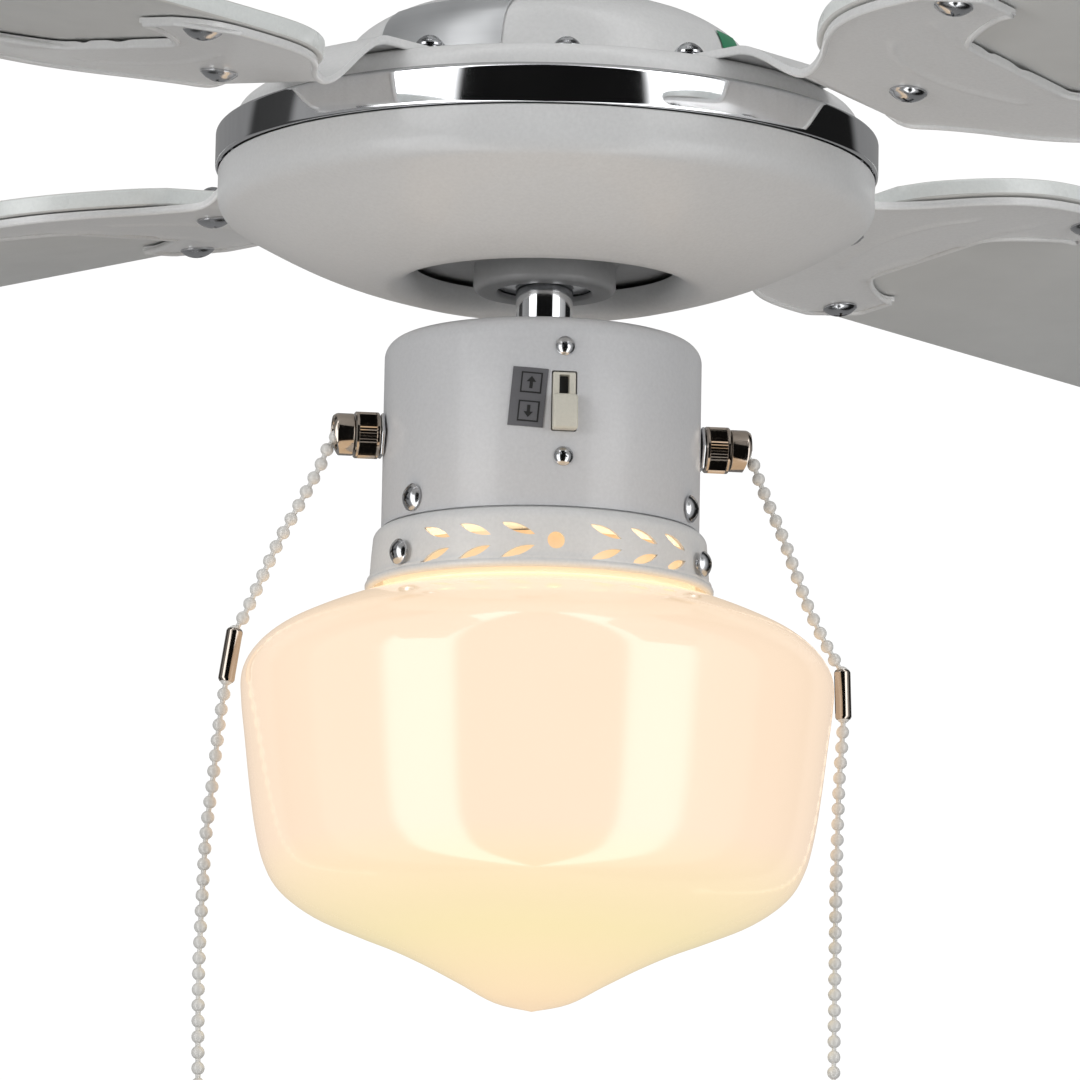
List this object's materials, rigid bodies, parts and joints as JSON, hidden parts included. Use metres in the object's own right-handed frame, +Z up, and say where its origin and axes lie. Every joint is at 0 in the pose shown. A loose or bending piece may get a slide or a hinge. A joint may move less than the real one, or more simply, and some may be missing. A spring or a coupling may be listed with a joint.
{
  "type": "ceiling fan with light",
  "caption": "White blade ceiling fan on a short rod, with a chrome motor band, a switch housing with two bead pull chains and a lit opal glass shade.",
  "frame": {"origin": "middle of the hanger bracket's top face, which lies on the ceiling", "axes": "+Z up into the ceiling along the motor's axis; -Y is the side of the reversing switch, which is turned 7.7 degrees from it; +X runs along the bracket"},
  "size_m": [0.8786, 0.8786, 0.5243],
  "materials": {
    "white_paint": "satin enamel",
    "housing_paint": "satin enamel, slightly greyer",
    "blade_foil": "white foil on fibreboard, satin",
    "chrome": "mirror plating",
    "steel": "zinc plated",
    "nickel": "dark nickel plating",
    "laminated_steel": "stacked laminations",
    "copper": "enamelled wire",
    "black_plastic": "moulded",
    "ivory_plastic": "moulded",
    "chain_plastic": "enamelled beads",
    "porcelain": "glazed",
    "lamp_glass": "frosted",
    "opal_glass": "glossy opal, lit from inside"
  },
  "bodies": {
    "ceiling_fixing": {"hanger_bracket": "steel", "canopy": "white_paint", "canopy_screw_1": "steel", "canopy_screw_2": "steel", "terminal_block": "ivory_plastic"},
    "fan_frame": {"hanger_ball": "black_plastic", "ball_pin": "steel", "downrod": "chrome", "motor_coupling": "steel", "coupling_pin": "steel", "motor_shaft": "chrome", "shaft_nut": "steel", "stator_core": "laminated_steel", "stator_winding": "copper", "upper_bearing": "steel", "lower_bearing": "steel", "switch_housing": "housing_paint", "housing_screw_1": "steel", "housing_screw_2": "steel", "housing_screw_3": "steel", "reversing_switch": "ivory_plastic", "fan_pull_switch": "black_plastic", "fan_lock_nut": "nickel", "fan_chain_collar": "nickel", "fan_chain_nose": "nickel", "light_pull_switch": "black_plastic", "light_lock_nut": "nickel", "light_chain_collar": "nickel", "light_chain_nose": "nickel", "capacitor": "black_plastic", "fitter": "white_paint", "lampholder": "porcelain", "bulb": "lamp_glass", "glass_shade": "opal_glass"},
    "rotor": {"motor_upper_case": "white_paint", "motor_lower_case": "steel", "rotor_ring": "laminated_steel", "chrome_band": "chrome", "lower_cover": "white_paint", "blade_iron_1": "white_paint", "blade_iron_2": "white_paint", "blade_iron_3": "white_paint", "blade_iron_4": "white_paint", "blade_1": "blade_foil", "blade_2": "blade_foil", "blade_3": "blade_foil", "blade_4": "blade_foil"},
    "reversing_knob": {"reversing_knob": "ivory_plastic"},
    "fan_chain": {"fan_chain_upper": "chain_plastic", "fan_chain_coupling": "nickel", "fan_chain_lower": "chain_plastic", "fan_chain_knob": "chain_plastic"},
    "light_chain": {"light_chain_upper": "chain_plastic", "light_chain_coupling": "nickel", "light_chain_lower": "chain_plastic", "light_chain_knob": "chain_plastic"},
    "thumbscrew_1": {"thumbscrew_1": "steel"},
    "thumbscrew_2": {"thumbscrew_2": "steel"},
    "thumbscrew_3": {"thumbscrew_3": "steel"}
  },
  "joints": [
    {"name": "hanger_swing", "type": "hinge", "parent": "ceiling_fixing", "child": "fan_frame", "pos_m": [0, 0, -0.0315], "axis": [1, 0, 0], "range_deg": [-7, 7]},
    {"name": "rotor_spin", "type": "hinge", "parent": "fan_frame", "child": "rotor", "pos_m": [0, 0, -0.21], "axis": [0, 0, 1], "continuous": true},
    {"name": "reversing_knob_slide", "type": "slide", "parent": "fan_frame", "child": "reversing_knob", "axis": [0, 0, 1], "range_m": [0, 0.006]},
    {"name": "fan_chain_pull", "type": "slide", "parent": "fan_frame", "child": "fan_chain", "axis": [0.991, 0.134, 0], "range_m": [0, 0.008], "stiffness_N_per_m": 200},
    {"name": "light_chain_pull", "type": "slide", "parent": "fan_frame", "child": "light_chain", "axis": [-0.991, -0.134, 0], "range_m": [0, 0.008], "stiffness_N_per_m": 200},
    {"name": "thumbscrew_1_slide", "type": "slide", "parent": "fan_frame", "child": "thumbscrew_1", "axis": [-0.7912, -0.6115, 0], "range_m": [0, 0.004]},
    {"name": "thumbscrew_2_slide", "type": "slide", "parent": "fan_frame", "child": "thumbscrew_2", "axis": [0.9252, -0.3795, 0], "range_m": [0, 0.004]},
    {"name": "thumbscrew_3_slide", "type": "slide", "parent": "fan_frame", "child": "thumbscrew_3", "axis": [-0.134, 0.991, 0], "range_m": [0, 0.004]}
  ]
}
